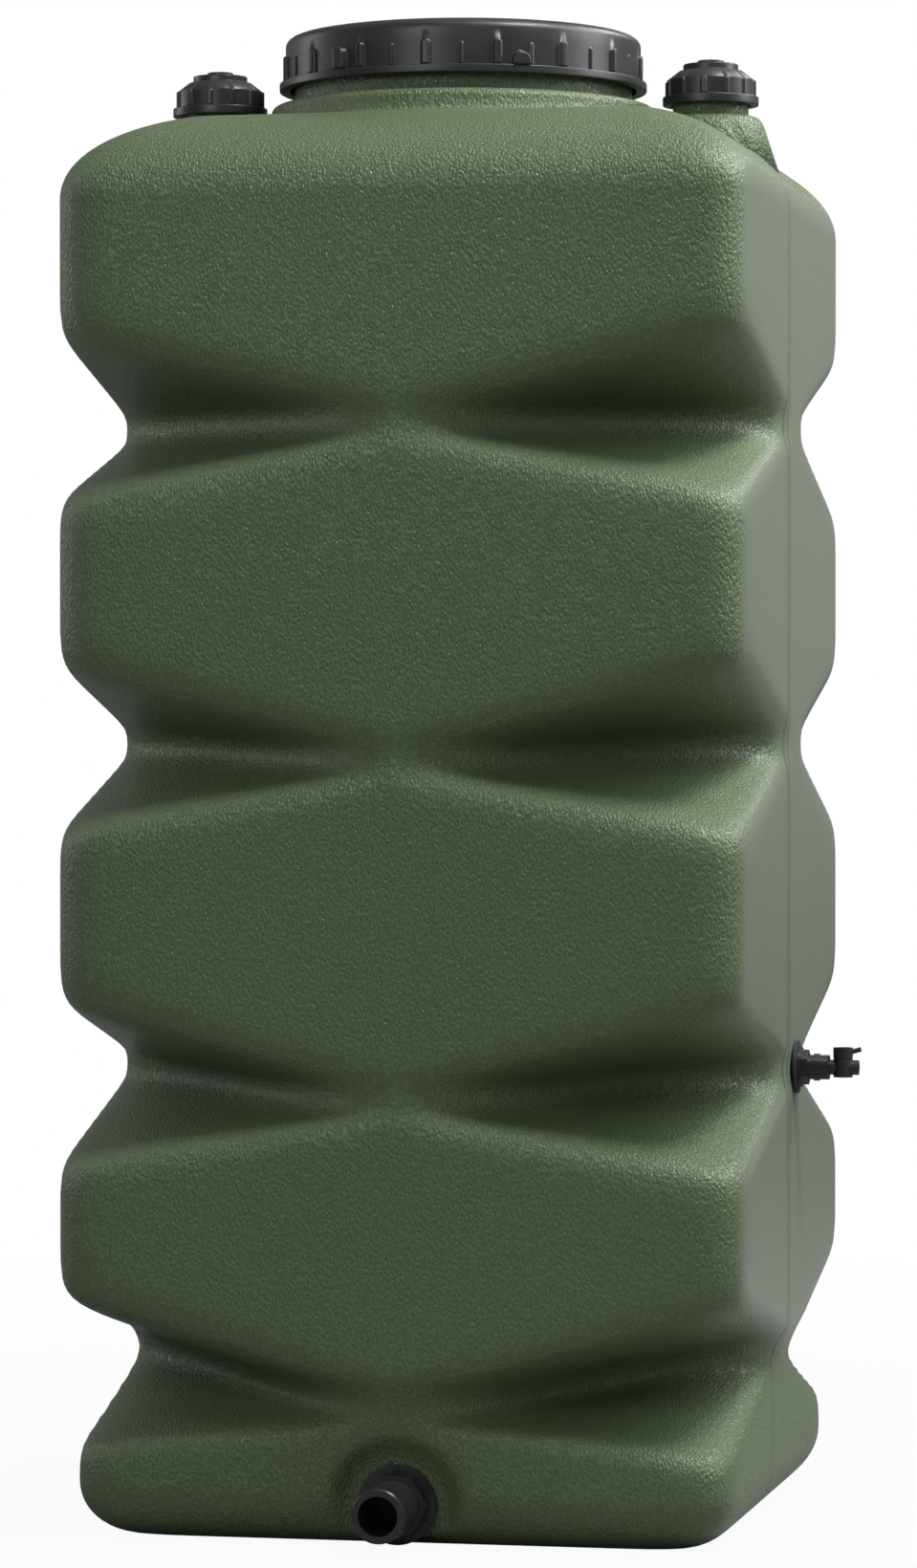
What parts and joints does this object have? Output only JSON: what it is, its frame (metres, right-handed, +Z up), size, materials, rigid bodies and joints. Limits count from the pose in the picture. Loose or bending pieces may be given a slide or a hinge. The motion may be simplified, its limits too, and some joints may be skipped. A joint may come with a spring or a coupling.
{
  "type": "water tank",
  "caption": "Tall square moulded water tank with pinched waists, a screwed manhole lid, screwed filler caps, a drain fitting low at the front and a side tap.",
  "frame": {"origin": "on the floor, under the middle of the tank", "axes": "+Z up; -Y towards the front, where the drain is; +X towards the side with the tap"},
  "size_m": [0.863, 0.8502, 1.705],
  "materials": {
    "tank_plastic": "grained dark green polyethylene",
    "lid_plastic": "satin black",
    "fitting_plastic": "satin black",
    "seal_rubber": "matt black",
    "screw_steel": "bright"
  },
  "bodies": {
    "tank": {"tank_body": "tank_plastic", "drain_bulkhead": "fitting_plastic", "drain_inner_seal": "seal_rubber", "drain_outer_seal": "seal_rubber", "drain_flange_nut": "fitting_plastic", "drain_spigot": "fitting_plastic", "tap_bulkhead": "fitting_plastic", "tap_inner_seal": "seal_rubber", "tap_outer_washer": "seal_rubber", "tap_backnut": "fitting_plastic", "tap_body": "fitting_plastic", "tap_stem_seal": "seal_rubber", "tap_gland": "fitting_plastic"},
    "manhole_seal": {"manhole_gasket": "seal_rubber"},
    "manhole_cover": {"manhole_lid": "lid_plastic"},
    "left_seal": {"left_cap_gasket": "seal_rubber"},
    "left_cover": {"left_cap": "lid_plastic", "left_vent_plug": "lid_plastic"},
    "right_seal": {"right_cap_gasket": "seal_rubber"},
    "right_cover": {"right_cap": "lid_plastic", "right_vent_plug": "lid_plastic"},
    "tap_handle": {"tap_plug": "fitting_plastic", "tap_lever": "fitting_plastic", "tap_lever_screw": "screw_steel"}
  },
  "joints": [
    {"name": "manhole_rise", "type": "slide", "parent": "tank", "child": "manhole_seal", "axis": [0, 0, 1], "range_m": [0, 0.0181]},
    {"name": "manhole_turn", "type": "hinge", "parent": "manhole_seal", "child": "manhole_cover", "pos_m": [0, 0, 1.66], "axis": [0, 0, 1], "range_deg": [0, 540]},
    {"name": "left_rise", "type": "slide", "parent": "tank", "child": "left_seal", "axis": [0, 0, 1], "range_m": [0, 0.0101]},
    {"name": "left_turn", "type": "hinge", "parent": "left_seal", "child": "left_cover", "pos_m": [-0.29, 0, 1.63], "axis": [0, 0, 1], "range_deg": [0, 720]},
    {"name": "right_rise", "type": "slide", "parent": "tank", "child": "right_seal", "axis": [0, 0, 1], "range_m": [0, 0.0101]},
    {"name": "right_turn", "type": "hinge", "parent": "right_seal", "child": "right_cover", "pos_m": [0.29, 0, 1.63], "axis": [0, 0, 1], "range_deg": [0, 720]},
    {"name": "tap_turn", "type": "hinge", "parent": "tank", "child": "tap_handle", "pos_m": [0.445, -0.01, 0.513], "axis": [0, 0, 1], "range_deg": [0, 90]}
  ],
  "couplings": [
    {"joint": "manhole_rise", "follows": "manhole_turn", "m_per_rad": 0.0019099},
    {"joint": "left_rise", "follows": "left_turn", "m_per_rad": 0.00079577},
    {"joint": "right_rise", "follows": "right_turn", "m_per_rad": 0.00079577}
  ]
}
